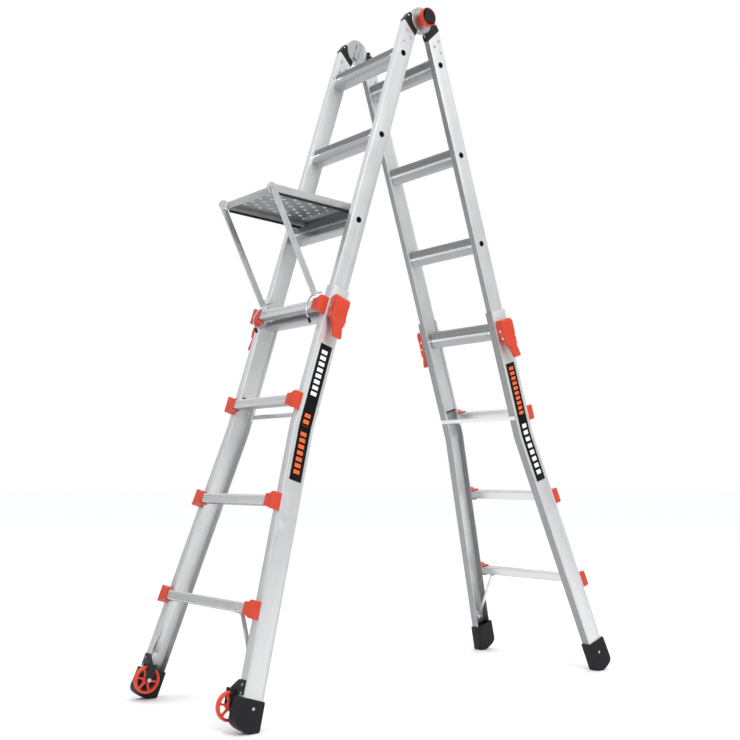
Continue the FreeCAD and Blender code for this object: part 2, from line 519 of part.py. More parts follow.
deck = new_body("platform_deck")
place_deck(deck)
extrude(deck, "Z", P("deck_under"), P("deck_top"), [rect(-P("deck_half"), P("deck_half"), 17.2, P("deck_length") - 4.2)])
extrude(deck, "Z", -7, P("deck_under") + 1, [rect(-P("deck_half"), P("deck_half"), 17.2, 19.4), rect(-P("deck_half"), P("deck_half"), P("deck_length") - 6.4, P("deck_length") - 4.2)])
holes = []
for i in range(9):
    count = 5 if i % 2 == 0 else 4
    for j in range(count):
        holes.append((num((j - (count - 1) / 2.0) * 44.0), num(50.0 + 28.5 * i), P("deck_hole")))
extrude(deck, "Z", P("deck_under") - 3, P("deck_top") + 2, (), holes, cut=True)

trims = new_body("platform_trims")
place_deck(trims)
for hand, sx in SIDES:
    extrude(trims, "X", (P("sidebar_in") - 1.5) * sx, P("sidebar_out") * sx, [rect(22, P("deck_length"), P("trim_low"), P("sidebar_low") - 0.05)])

for hand, sx in SIDES:
    extrude(frame, "X", (P("sidebar_in") - 1) * sx, (P("leg_out") + 1) * sx, (), [(0, 0, 3.0)])
    extrude(frame, "X", (P("sidebar_in") - 1.9) * sx, (P("sidebar_in") - 0.2) * sx, (), [(0, 0, 5.2)])
    extrude(frame, "X", (P("leg_out") + 0.3) * sx, (P("leg_out") + 1.9) * sx, (), [(0, 0, 5.2)])


def place_leg(obj):
    obj.Placement = Placement(Vector(0, 0, 0), Rotation(Vector(1, 0, 0), values["leg_angle"]))
    obj.setExpression("Placement.Base.y", "Params.hinge_offset + Params.deck_y")
    obj.setExpression("Placement.Base.z", "Params.hinge_height + Params.deck_z")
    obj.setExpression("Placement.Rotation.Angle", "Params.leg_angle * 1 deg")


legs = new_body("platform_legs")
place_leg(legs)
for hand, sx in SIDES:
    extrude(legs, "X", P("leg_in") * sx, P("leg_out") * sx, [rect(-P("leg_half"), P("leg_half"), 0, -P("leg_length"))])
    extrude(legs, "X", P("leg_in") * sx, P("leg_out") * sx, (), [(0, 0, P("leg_half"))])
    extrude(legs, "X", P("leg_in") * sx, P("leg_out") * sx, (), [(0, -P("leg_length"), P("leg_half"))])
for hand, sx in SIDES:
    extrude(legs, "X", (P("leg_in") - 2) * sx, (P("leg_out") + 2) * sx, (), [(0, 0, 3.0 + P("running_gap"))], cut=True)

# Wire hooks that go over the rung, drawn in the hinge's frame without tilt.
ROUTE = [(131.5, -374.0, -946.0), (132.2, -399.0, -952.5), (133.6, -419.0, -968.5), (139.5, -435.0, -990.0), (143.5, -439.0, -1012.0), (144.0, -432.0, -1029.0)]


def place_plain(obj):
    obj.Placement = Placement(Vector(0, 0, values["hinge_height"]), Rotation())
    obj.setExpression("Placement.Base.y", "Params.hinge_offset")
    obj.setExpression("Placement.Base.z", "Params.hinge_height")


hooks = doc.addObject("Part::MultiFuse", fresh("Solid"))
hooks.Label = "platform_hooks"
tips = doc.addObject("Part::MultiFuse", fresh("Solid"))
tips.Label = "platform_hook_tips"
wires, ends = [], []
for hand, sx in SIDES:
    parts = []
    for i, (x, y, z) in enumerate(ROUTE):
        ball = doc.addObject("Part::Sphere", fresh("Ball"))
        ball.setExpression("Radius", "Params.wire_radius")
        ball.Placement = Placement(Vector(x * sx, y, z), Rotation())
        if 0 < i < len(ROUTE) - 1:
            parts.append(ball)
        else:
            doc.removeObject(ball.Name)
        if i:
            p, q = Vector(ROUTE[i - 1][0] * sx, *ROUTE[i - 1][1:]), Vector(x * sx, y, z)
            rod = doc.addObject("Part::Cylinder", fresh("Run"))
            rod.setExpression("Radius", "Params.wire_radius")
            rod.Height = (q - p).Length
            rod.Placement = Placement(p, Rotation(Vector(0, 0, 1), q - p))
            parts.append(rod)
    stub = doc.addObject("Part::Cylinder", fresh("Stub"))
    stub.Radius = 3.0
    stub.Height = values["leg_in"] - 0.1 - values["wire_x"]
    stub.Placement = Placement(Vector(values["wire_x"] * sx, -404.5, -955.0), Rotation(Vector(0, 1, 0), 90 * sx))
    parts.append(stub)
    one = doc.addObject("Part::MultiFuse", fresh("Hook"))
    one.Shapes = parts
    wires.append(one)
    p, q = Vector(ROUTE[-2][0] * sx, *ROUTE[-2][1:]), Vector(ROUTE[-1][0] * sx, *ROUTE[-1][1:])
    way = (q - p).normalize()
    tip = doc.addObject("Part::Cylinder", fresh("Tip"))
    tip.setExpression("Radius", "Params.tip_radius")
    tip.setExpression("Height", "Params.tip_length")
    tip.Placement = Placement(q + way * 0.02, Rotation(Vector(0, 0, 1), way))
    ends.append(tip)
hooks.Shapes = wires
tips.Shapes = ends
for obj in (hooks, tips):
    exports.append(obj)
    place_plain(obj)

doc.recompute()
bad = [o.Name + " " + o.Label for o in doc.Objects if "Invalid" in o.State or "Error" in o.State]
if bad:
    raise RuntimeError("failed objects: " + ", ".join(bad))
for o in doc.Objects:
    if o.TypeId == "PartDesign::Pocket" and not o.Shape.Volume < o.BaseFeature.Shape.Volume - 1e-3:
        raise RuntimeError("pocket cuts nothing: " + o.Name + " in " + o.getParentGeoFeatureGroup().Label)
for o in exports:
    if o.Shape.isNull() or not o.Shape.isValid():
        raise RuntimeError("bad shape: " + o.Label)

os.makedirs("parts", exist_ok=True)
low = [1e9] * 3
high = [-1e9] * 3
for o in exports:
    box = o.Shape.BoundBox
    for i, (a, b) in enumerate(((box.XMin, box.XMax), (box.YMin, box.YMax), (box.ZMin, box.ZMax))):
        low[i], high[i] = min(low[i], a), max(high[i], b)
    o.Shape.exportStep("parts/%s.step" % o.Label)
    print("%-26s solids %d volume %.0f  x %.1f %.1f  y %.1f %.1f  z %.1f %.1f" % (
        o.Label, len(o.Shape.Solids), o.Shape.Volume, box.XMin, box.XMax, box.YMin, box.YMax, box.ZMin, box.ZMax))
print("nodes", len(exports), "box", [round(v, 2) for v in low], [round(v, 2) for v in high])
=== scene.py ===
import json
import math
import bpy
import bmesh
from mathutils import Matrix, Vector


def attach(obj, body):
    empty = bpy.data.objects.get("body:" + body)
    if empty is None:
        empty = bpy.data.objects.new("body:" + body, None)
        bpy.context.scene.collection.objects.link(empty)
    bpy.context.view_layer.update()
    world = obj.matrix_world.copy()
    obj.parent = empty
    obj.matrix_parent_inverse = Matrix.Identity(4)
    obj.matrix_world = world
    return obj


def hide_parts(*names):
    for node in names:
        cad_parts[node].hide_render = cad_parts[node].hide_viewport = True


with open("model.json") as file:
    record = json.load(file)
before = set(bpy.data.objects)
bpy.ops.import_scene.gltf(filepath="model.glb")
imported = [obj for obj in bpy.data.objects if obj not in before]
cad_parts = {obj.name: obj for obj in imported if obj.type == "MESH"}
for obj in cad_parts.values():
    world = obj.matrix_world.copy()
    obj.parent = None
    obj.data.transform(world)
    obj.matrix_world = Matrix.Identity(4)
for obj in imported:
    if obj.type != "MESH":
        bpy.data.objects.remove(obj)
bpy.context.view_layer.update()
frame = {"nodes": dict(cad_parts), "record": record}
nodes = frame["nodes"]
record = frame["record"]
body_of_node = {n: b for b, ns in record["behaviour"]["bodies"].items() for n in ns}
slot_of_node = {s["node"]: s["material_slot"] for s in record["subparts"]}
scene = bpy.context.scene

# ------------------------------------------------------------------ the ladder's own measures, in mm
TILT = math.radians(17.731)
SA, CA = math.sin(TILT), math.cos(TILT)
H, YH = 2174.0, 9.93
BEND, SLOPE = 1438.5, 0.12997
PITCH, FIRST = 304.8, 152.4
NAMES = {"F": "front", "B": "back"}


def at(side, x, n, s):
    f = 1.0 if side == "B" else -1.0
    return Vector((x / 1000.0, (f * (n * CA + s * SA) + YH) / 1000.0, (H - s * CA + n * SA) / 1000.0))


def flare(s):
    return (s - BEND) * SLOPE if s > BEND else 0.0


def level(k):
    return FIRST + PITCH * k


# ------------------------------------------------------------------ materials


class Nodes:
    def __init__(self, name):
        self.m = bpy.data.materials.new(name)
        self.m.use_nodes = True
        self.t = self.m.node_tree
        self.t.nodes.clear()
        self.out = self.t.nodes.new("ShaderNodeOutputMaterial")
        self.b = self.t.nodes.new("ShaderNodeBsdfPrincipled")
        self.t.links.new(self.b.outputs["BSDF"], self.out.inputs["Surface"])
        self.coord = self.t.nodes.new("ShaderNodeTexCoord")

    def link(self, a, b):
        self.t.links.new(a, b)

    def mapped(self, rot=(0, 0, 0), scale=(1, 1, 1)):
        a = self.t.nodes.new("ShaderNodeMapping")
        a.inputs["Rotation"].default_value = rot
        self.link(self.coord.outputs["Object"], a.inputs["Vector"])
        b = self.t.nodes.new("ShaderNodeMapping")
        b.inputs["Scale"].default_value = scale
        self.link(a.outputs["Vector"], b.inputs["Vector"])
        return b.outputs["Vector"]

    def noise(self, vec, scale, detail=3.0, rough=0.55):
        n = self.t.nodes.new("ShaderNodeTexNoise")
        n.inputs["Scale"].default_value = scale
        n.inputs["Detail"].default_value = detail
        n.inputs["Roughness"].default_value = rough
        self.link(vec, n.inputs["Vector"])
        return n.outputs["Fac"]

    def span(self, value, lo, hi, a=0.3, b=0.7):
        r = self.t.nodes.new("ShaderNodeMapRange")
        r.inputs["From Min"].default_value = a
        r.inputs["From Max"].default_value = b
        r.inputs["To Min"].default_value = lo
        r.inputs["To Max"].default_value = hi
        self.link(value, r.inputs["Value"])
        return r.outputs["Result"]

    def mix(self, fac, a, b):
        n = self.t.nodes.new("ShaderNodeMix")
        n.data_type = "RGBA"
        for sock, v in ((n.inputs[6], a), (n.inputs[7], b)):
            if isinstance(v, (tuple, list)):
                sock.default_value = (*v, 1.0)
            else:
                self.link(v, sock)
        if isinstance(fac, float):
            n.inputs[0].default_value = fac
        else:
            self.link(fac, n.inputs[0])
        return n.outputs[2]

    def math(self, op, a, b):
        n = self.t.nodes.new("ShaderNodeMath")
        n.operation = op
        for sock, v in ((n.inputs[0], a), (n.inputs[1], b)):
            if isinstance(v, float):
                sock.default_value = v
            else:
                self.link(v, sock)
        return n.outputs[0]

    def bump(self, height, strength, distance):
        n = self.t.nodes.new("ShaderNodeBump")
        n.inputs["Strength"].default_value = strength
        n.inputs["Distance"].default_value = distance
        self.link(height, n.inputs["Height"])
        self.link(n.outputs["Normal"], self.b.inputs["Normal"])

    def edges(self, lo=0.52, hi=0.62):
        g = self.t.nodes.new("ShaderNodeNewGeometry")
        return self.span(g.outputs["Pointiness"], 0.0, 1.0, lo, hi)


def metal(name, base, rough, rot=0.0, along="s", spread=0.08, metallic=0.9, bump=0.12, dark=0.90):
    k = Nodes(name)
    stretch = (520.0, 520.0, 5.0) if along == "s" else (5.0, 520.0, 520.0)
    wide = (60.0, 60.0, 1.4) if along == "s" else (1.4, 60.0, 60.0)
    lines = k.noise(k.mapped((rot, 0, 0), stretch), 1.0, 2.0)
    bands = k.noise(k.mapped((rot, 0, 0), wide), 1.0, 3.0)
    cloud = k.noise(k.mapped(), 9.0, 4.0)
    tone = k.math("MULTIPLY", k.span(bands, 0.0, 0.6), 1.0)
    low = tuple(c * dark for c in base)
    col = k.mix(tone, base, low)
    # sharp edges (found by pointiness) get a lighter colour: a painted edge highlight
    edge_highlight = tuple(min(1.0, c * 1.12) for c in base)
    col = k.mix(k.math("MULTIPLY", k.edges(), 0.5), col, edge_highlight)
    k.link(col, k.b.inputs["Base Color"])
    r = k.math("ADD", k.span(lines, rough - spread, rough + spread), k.span(cloud, -0.04, 0.05))
    k.link(r, k.b.inputs["Roughness"])
    k.b.inputs["Metallic"].default_value = metallic
    k.b.inputs["Anisotropic"].default_value = 0.35
    k.bump(lines, bump, 0.0004)
    return k.m


def plastic(name, base, rough, coat=0.0, grain=1400.0, bump=0.10, edge_highlight_amount=0.35, light=1.35, spec=0.3):
    k = Nodes(name)
    cloud = k.noise(k.mapped(), 22.0, 4.0)
    fine = k.noise(k.mapped(), grain, 2.0)
    low = tuple(c * 0.88 for c in base)
    col = k.mix(k.span(cloud, 0.0, 1.0), base, low)
    # sharp edges (found by pointiness) get a lighter colour: a painted edge highlight
    edge_highlight = tuple(min(1.0, c * light + 0.015) for c in base)
    col = k.mix(k.math("MULTIPLY", k.edges(), edge_highlight_amount), col, edge_highlight)
    k.link(col, k.b.inputs["Base Color"])
    r = k.math("ADD", k.span(cloud, rough - 0.05, rough + 0.07), k.span(fine, -0.03, 0.03))
    k.link(r, k.b.inputs["Roughness"])
    k.b.inputs["Coat Weight"].default_value = coat
    k.b.inputs["Specular IOR Level"].default_value = spec
    k.b.inputs["Coat Roughness"].default_value = 0.2
    k.bump(fine, bump, 0.0003)
    return k.m


ALU = (0.66, 0.667, 0.672)
RUNG = (0.40, 0.405, 0.415)
MATS = {
    ("rail_aluminium", "F"): metal("rail_metal_front", ALU, 0.42, TILT, "s"),
    ("rail_aluminium", "B"): metal("rail_metal_back", (0.76, 0.765, 0.77), 0.42, -TILT, "s"),
    # darker copies of the rail metal: painted shade for the flange faces turned towards -n, not a different metal
    ("rail_shade", "F"): metal("rail_painted_shade_front", (0.34, 0.345, 0.35), 0.42, TILT, "s"),
    ("rail_shade", "B"): metal("rail_painted_shade_back", (0.31, 0.313, 0.318), 0.42, -TILT, "s"),
    ("slim_rung", "F"): metal("slim_rung_metal", (0.66, 0.665, 0.67), 0.34, 0.0, "x", dark=0.9),
    ("rail_aluminium", "X"): metal("frame_metal", (0.50, 0.505, 0.51), 0.38, 0.0, "s"),
    ("rung_aluminium", "F"): metal("rung_metal", RUNG, 0.36, 0.0, "x", dark=0.86),
    # darker rung metal: painted shade for the deep rungs' upper ribbed band and the slim rungs' undersides
    ("rung_painted_shade", "F"): metal("rung_painted_shade_metal", (0.29, 0.295, 0.30), 0.42, 0.0, "x", dark=0.8, metallic=0.9),
    # near-white rung metal: painted highlight along the band round each deep rung's groove
    ("rung_painted_highlight", "F"): metal("rung_painted_highlight_metal", (0.86, 0.865, 0.87), 0.30, 0.0, "x", dark=0.92, metallic=0.9, bump=0.05),
    ("hinge_aluminium", "F"): metal("hinge_metal", (0.52, 0.525, 0.53), 0.36, 0.0, "s", bump=0.06),
    ("deck_aluminium", "F"): metal("deck_metal", (0.24, 0.245, 0.25), 0.46, 0.0, "x", metallic=0.8, dark=0.8),
    ("zinc_steel", "F"): metal("zinc_metal", (0.52, 0.525, 0.53), 0.24, 0.0, "s", bump=0.04, metallic=1.0),
    ("orange_plastic", "F"): plastic("orange_moulding", (0.58, 0.048, 0.019), 0.42, coat=0.08),
    ("wheel_plastic", "F"): plastic("wheel_moulding", (0.62, 0.052, 0.020), 0.40, coat=0.1),
    ("black_plastic", "F"): plastic("black_moulding", (0.010, 0.010, 0.011), 0.40, coat=0.0, light=2.2, spec=0.22),
    ("black_rubber", "F"): plastic("foot_rubber", (0.009, 0.009, 0.010), 0.50, grain=900.0, bump=0.18, light=2.0, spec=0.2),
    ("black_bracket", "F"): plastic("powder_coat", (0.011, 0.011, 0.012), 0.36, coat=0.0, grain=1800.0, bump=0.15, light=2.2, spec=0.25),
    ("label_film", "F"): plastic("label_black", (0.004, 0.004, 0.004), 0.40, bump=0.02, edge_highlight_amount=0.1, spec=0.08),
    ("bar_orange", "F"): plastic("label_orange", (0.83, 0.13, 0.03), 0.35, bump=0.02, edge_highlight_amount=0.0),
    ("bar_white", "F"): plastic("label_white", (0.85, 0.85, 0.84), 0.38, bump=0.02, edge_highlight_amount=0.0),
}


def mat(slot, side="F"):
    return MATS.get((slot, side)) or MATS[(slot, "F")]


# ------------------------------------------------------------------ mesh helpers


def finish_mesh(bm, smooth=38.0):
    bmesh.ops.recalc_face_normals(bm, faces=bm.faces)
    me = bpy.data.meshes.new("m")
    bm.to_mesh(me)
    bm.free()
    for p in me.polygons:
        p.use_smooth = True
    me.set_sharp_from_angle(angle=math.radians(smooth))
    return me


def bevel(bm, offset, segments=2, angle=28.0, shortest=0.0):
    lim = math.radians(angle)
    pick = [e for e in bm.edges if len(e.link_faces) == 2 and e.calc_face_angle(0.0) > lim and e.calc_length() > shortest]
    if pick:
        bmesh.ops.bevel(bm, geom=pick, offset=offset / 1000.0, segments=segments, profile=0.6, affect="EDGES", clamp_overlap=True)


def add(name, me, body, slot, side="F", stands_for=(), material=None):
    ob = bpy.data.objects.new(name, me)
    scene.collection.objects.link(ob)
    me.materials.append(material or mat(slot, side))
    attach(ob, body)
    if stands_for:
        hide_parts(*stands_for)
    return ob


def rings_mesh(bm, rings, closed=True):
    """Joins rings of points with quads, and caps both ends."""
    layers = [[bm.verts.new(p) for p in ring] for ring in rings]
    n = len(layers[0])
    for a, b in zip(layers, layers[1:]):
        for i in range(n):
            bm.faces.new((a[i], a[(i + 1) % n], b[(i + 1) % n], b[i]))
    if closed:
        bm.faces.new(layers[0])
        bm.faces.new(layers[-1])


def lathe_x(bm, side, n, s, profile, seg=40, sx=1, closed_profile=False):
    """Turns (x, r) points about an axis along X through (n, s)."""
    layers = []
    for x, r in profile:
        if r <= 1e-6:
            layers.append([bm.verts.new(at(side, x * sx, n, s))])
        else:
            layers.append([bm.verts.new(at(side, x * sx, n + r * math.cos(2 * math.pi * i / seg), s + r * math.sin(2 * math.pi * i / seg))) for i in range(seg)])
    pairs = list(zip(layers, layers[1:]))
    if closed_profile:
        pairs.append((layers[-1], layers[0]))
    for a, b in pairs:
        for i in range(seg):
            j = (i + 1) % seg
            if len(a) == 1 and len(b) == 1:
                continue
            if len(a) == 1:
                bm.faces.new((a[0], b[j], b[i]))
            elif len(b) == 1:
                bm.faces.new((a[i], a[j], b[0]))
            else:
                bm.faces.new((a[i], a[j], b[j], b[i]))
    if not closed_profile:
        for ring in (layers[0], layers[-1]):
            if len(ring) > 1:
                bm.faces.new(ring)


def prism_x(bm, side, x0, x1, poly):
    rings_mesh(bm, [[at(side, x, n, s) for n, s in poly] for x in (x0, x1)])


def prism_n(bm, side, n0, n1, poly):
    rings_mesh(bm, [[at(side, x, n, s) for x, s in poly] for n in (n0, n1)])


def refine(node, offset=0.8, segments=2, shortest=0.0, angle=28.0, smooth=38.0):
    """A copy of a CAD node's mesh with its edges rounded."""
    bm = bmesh.new()
    bm.from_mesh(nodes[node].data)
    bmesh.ops.remove_doubles(bm, verts=bm.verts, dist=2e-6)
    bmesh.ops.dissolve_limit(bm, angle_limit=math.radians(0.4), verts=bm.verts, edges=bm.edges)
    bevel(bm, offset, segments, angle, shortest / 1000.0)
    me = finish_mesh(bm, smooth)
    side = "B" if node.startswith("back") else ("F" if node.startswith(("front", "wheel", "hinge")) else "X")
    return add(node + "_shown", me, body_of_node[node], slot_of_node[node], side, (node,))


# ------------------------------------------------------------------ ladder sections


def rounded(n0, n1, s0, s1, r, steps=4):
    pts = []
    for cn, cs, a0 in ((n1 - r, s1 - r, 0), (n0 + r, s1 - r, 90), (n0 + r, s0 + r, 180), (n1 - r, s0 + r, 270)):
        for i in range(steps + 1):
            a = math.radians(a0 + 90.0 * i / steps)
            pts.append((cn + r * math.cos(a), cs + r * math.sin(a)))
    return pts


def rung_profile(k, groove):
    """A deep rung's outline: ribbed top, ribbed upper faces and a groove along the middle of each face."""
    z = level(k)
    a, b, h, r = 18.0, 55.0, 28.5, 7.0
    pts = []

    def corner(cn, cs, start):
        for i in range(5):
            t = math.radians(start + 22.5 * i)
            pts.append((cn + r * math.cos(t), cs + r * math.sin(t)))

    # top (s negative), from back to front, with tread ribs
    corner(a + r, z - h + r, 180)
    count = 7
    for i in range(count):
        n = a + r + 1.4 + (b - a - 2 * r - 2.8) * i / (count - 1)
        pts += [(n - 0.9, z - h), (n - 0.6, z - h + 0.9), (n + 0.6, z - h + 0.9), (n + 0.9, z - h)]
    corner(b - r, z - h + r, 270)
    # front face down: ribs, groove, plain
    for i in range(5):
        s = z - h + r + 1.6 + 3.1 * i
        pts += [(b, s - 0.8), (b - 0.8, s - 0.5), (b - 0.8, s + 0.5), (b, s + 0.8)]
    g, d = 4.2, 2.8 * groove
    pts += [(b, z - g), (b - d * 0.9, z - g + 0.5), (b - d, z - g + 1.2), (b - d, z + g - 4.2), (b - d * 0.62, z + g - 1.8), (b, z + g)]
    corner(b - r, z + h - r, 0)
    corner(a + r, z + h - r, 90)
    pts += [(a, z + g), (a + d * 0.62, z + g - 1.8), (a + d, z + g - 4.2), (a + d, z - g + 1.2), (a + d * 0.9, z - g + 0.5), (a, z - g)]
    for i in reversed(range(5)):
        s = z - h + r + 1.6 + 3.1 * i
        pts += [(a, s + 0.8), (a + 0.8, s + 0.5), (a + 0.8, s - 0.5), (a, s - 0.8)]
    return pts


def strip_pts(xa, xb, s0, s1):
    cuts = [s0] + ([BEND] if s0 < BEND < s1 else []) + [s1]
    left = [(xa + flare(s), s) for s in cuts]
    right = [(xb + flare(s), s) for s in reversed(cuts)]
    return left + right


for side in "FB":
    name = NAMES[side]
    inner, outer = name + "_inner", name + "_outer"
    for hand in ("left", "right"):
        for part, off in (("inner", 1.3), ("outer", 0.8)):
            ob = refine("%s_%s_rail_%s" % (name, part, hand), off, 3 if part == "inner" else 2, shortest=18.0)
            # faces turned towards -n (the flanges' inward, downward-facing sides) get the darker rail_shade material:
            # painted shade
            ob.data.materials.append(MATS[("rail_shade", side)])
            f = 1.0 if side == "B" else -1.0
            for p in ob.data.polygons:
                away = p.normal.y * f * CA + p.normal.z * SA
                if away < -0.9:
                    p.material_index = 1
        refine("%s_lock_lever_%s" % (name, hand), 1.5, 3, shortest=1.5)
        refine("%s_lock_pin_%s" % (name, hand), 0.4, 2)
    # grip ridges across the lower part of each lock lever
    for hand, sx in (("left", -1), ("right", 1)):
        bm = bmesh.new()
        for i in range(7):
            c = 1112.0 + 5.6 * i
            x = 186.5 + 33.0 + (c - 1112.0) * 10.0 / 36.0
            w = 23.0 if c < 1120.0 else 13.0
            b2 = bmesh.new()
            prism_n(b2, side, 38.0 - w, 38.0 + w, [((x - 0.9 - 0.4) * sx, c - 1.5), ((x + 0.75 - 0.3) * sx, c - 1.0), ((x + 0.75 + 0.3) * sx, c + 1.0), ((x - 0.9 + 0.4) * sx, c + 1.5)])
            bevel(b2, 0.3, 2)
            tmp = bpy.data.meshes.new("t")
            b2.to_mesh(tmp)
            b2.free()
            bm.from_mesh(tmp)
            bpy.data.meshes.remove(tmp)
        add("%s_lock_lever_grip_%s" % (name, hand), finish_mesh(bm), body_of_node["%s_lock_lever_%s" % (name, hand)], "orange_plastic")
    # deep rungs
    bm = bmesh.new()
    for k in range(4):
        stations = [(-159.2, 0.0), (-136.0, 0.0), (-130.0, 0.55), (-125.0, 1.0), (125.0, 1.0), (130.0, 0.55), (136.0, 0.0), (159.2, 0.0)]
        rings_mesh(bm, [[at(side, x, n, s) for n, s in rung_profile(k, g)] for x, g in stations])
    ob = add(name + "_deep_rungs", finish_mesh(bm, 32.0), inner, "rung_aluminium", side, (name + "_inner_rungs",))
    ob.data.materials.append(MATS[("rung_painted_shade", "F")])
    ob.data.materials.append(MATS[("rung_painted_highlight", "F")])
    fs = 1.0 if side == "B" else -1.0
    for p in ob.data.polygons:
        y, z = (p.center[1] * 1000.0 - YH) * fs, p.center[2] * 1000.0 - H
        s = y * SA - z * CA
        d = (s - FIRST + PITCH / 2) % PITCH - PITCH / 2
        if abs(p.center[0]) < 0.1588:
            # faces of the upper, ribbed band get the darker second material: painted shade
            if d < -3.0:
                p.material_index = 1
            # faces round the groove get the near-white third material: painted highlight
            elif d < 3.9:
                p.material_index = 2
    # slim rungs
    bm = bmesh.new()
    for k in range(3, 7):
        half = 186.5 + flare(level(k)) - 6.0
        z = level(k)
        prof = rounded(71.5, 95.5, z - 14.5, z + 14.5, 3.2)
        ribs = []
        for n, s in prof:
            ribs.append((n, s))
        out = []
        for i, (n, s) in enumerate(ribs):
            out.append((n, s))
            nn, ss = ribs[(i + 1) % len(ribs)]
            if abs(s - (z - 14.5)) < 1e-6 and abs(ss - (z - 14.5)) < 1e-6:
                for j in range(5):
                    c = n + (nn - n) * (j + 0.5) / 5
                    w = 0.7 if nn > n else -0.7
                    out += [(c - w, s), (c - w * 0.6, s + 0.7), (c + w * 0.6, s + 0.7), (c + w, s)]
            if abs(n - 95.5) < 1e-6 and abs(nn - 95.5) < 1e-6:
                d = 1.0 if ss > s else -1.0
                for c in (z - 6.0 * d, z):
                    out += [(n, c - 0.8 * d), (n - 0.8, c - 0.4 * d), (n - 0.8, c + 0.4 * d), (n, c + 0.8 * d)]
        rings_mesh(bm, [[at(side, x, n, s) for n, s in out] for x in (-half, half)])
    ob = add(name + "_slim_rungs", finish_mesh(bm, 32.0), outer, "rung_aluminium", side, (name + "_outer_rungs",), MATS[("slim_rung", "F")])
    # faces turned down the ladder (the slim rungs' undersides) get the darker second material: painted shade
    ob.data.materials.append(MATS[("rung_painted_shade", "F")])
    f = 1.0 if side == "B" else -1.0
    for p in ob.data.polygons:
        if p.normal.y * f * SA - p.normal.z * CA > 0.8:
            p.material_index = 1
    refine(name + "_rung_caps", 1.4, 3, shortest=3.0)
    refine(name + "_crossbar", 0.8, 2)
    refine(name + "_braces", 0.7, 2)
    refine(name + "_rail_end_plugs", 0.8, 2)
    refine(name + "_lock_brackets", 0.5, 2, shortest=2.0)
    refine(name + "_hinge_covers", 0.7, 2, shortest=2.5)
    refine(name + "_feet", 1.6, 3, shortest=2.0)
    refine(name + "_hinge_arms", 0.7, 2, shortest=12.0)
    # raised edges on the outer rails' faces
    bm = bmesh.new()
    for sx in (-1, 1):
        for n0, n1 in ((5.4, 11.0), (65.0, 70.6)):
            b2 = bmesh.new()
            prism_n(b2, side, n0, n1, [(x * sx, s) for x, s in strip_pts(186.4, 186.95, 998.0, 2203.0 if side == "F" else 2188.0)])
            bevel(b2, 0.2, 2)
            tmp = bpy.data.meshes.new("t")
            b2.to_mesh(tmp)
            b2.free()
            bm.from_mesh(tmp)
            bpy.data.meshes.remove(tmp)
    add(name + "_rail_edge_bands", finish_mesh(bm), outer, "rail_aluminium", side)
    # bushings
    bm = bmesh.new()
    for sx in (-1, 1):
        for k in range(4):
            lathe_x(bm, side, 38.0, level(k), [(181.5, 9.9), (182.3, 9.8), (182.7, 9.2), (182.7, 7.6), (182.2, 6.8), (181.4, 6.4), (157.0, 6.4), (156.7, 6.8), (156.7, 8.2), (157.0, 8.5), (181.5, 8.5)], 36, sx, True)
    add(name + "_bushings", finish_mesh(bm), inner, "black_plastic", side, (name + "_rung_bushings",))
    # domed rivets of the inner rails and hinge covers
    bm = bmesh.new()
    for sx in (-1, 1):
        for n, s, r in ((52, 73, 5.6), (51, 112, 5.6), (28.5, 90, 5.6), (56.2, 17, 3.2)):
            dome = [(0.0, r), (0.5, r), (1.3, r * 0.93), (1.9, r * 0.72), (2.3, r * 0.38), (2.4, 0.0)]
            lathe_x(bm, side, n, s, [(181.4 + h, q) for h, q in dome], 24, sx)
            lathe_x(bm, side, n, s, [(159.3 - h * 0.93, q) for h, q in dome], 24, sx)
            lathe_x(bm, side, n, s, [(159.3, r * 0.5), (181.4, r * 0.5)], 16, sx)
    add(name + "_rivets", finish_mesh(bm), inner, "zinc_steel", side, (name + "_inner_rivets",))
    refine(name + "_outer_rivets", 0.5, 3)
    # label with plain bars
    refine(name + "_side_labels", 0.15, 1)
    order = (("bar_white", 1200.0, 1350.0), ("bar_orange", 1400.0, 1590.0)) if side == "F" else (("bar_orange", 1196.0, 1372.0), ("bar_white", 1400.0, 1590.0))
    for colour, s0, s1 in order:
        bm = bmesh.new()
        count = 8 if colour == "bar_white" else 10
        for sx in (-1, 1):
            for i in range(count):
                c0 = s0 + (s1 - s0) * i / count
                c1 = c0 + (s1 - s0) / count * 0.62
                if c0 < BEND < c1:
                    c1 = BEND - 1.0
                prism_n(bm, side, 27.0, 48.0, [(x * sx, s) for x, s in strip_pts(186.9, 187.12, c0, c1)])
        add("%s_label_%s" % (name, colour), finish_mesh(bm), outer, colour, "F")

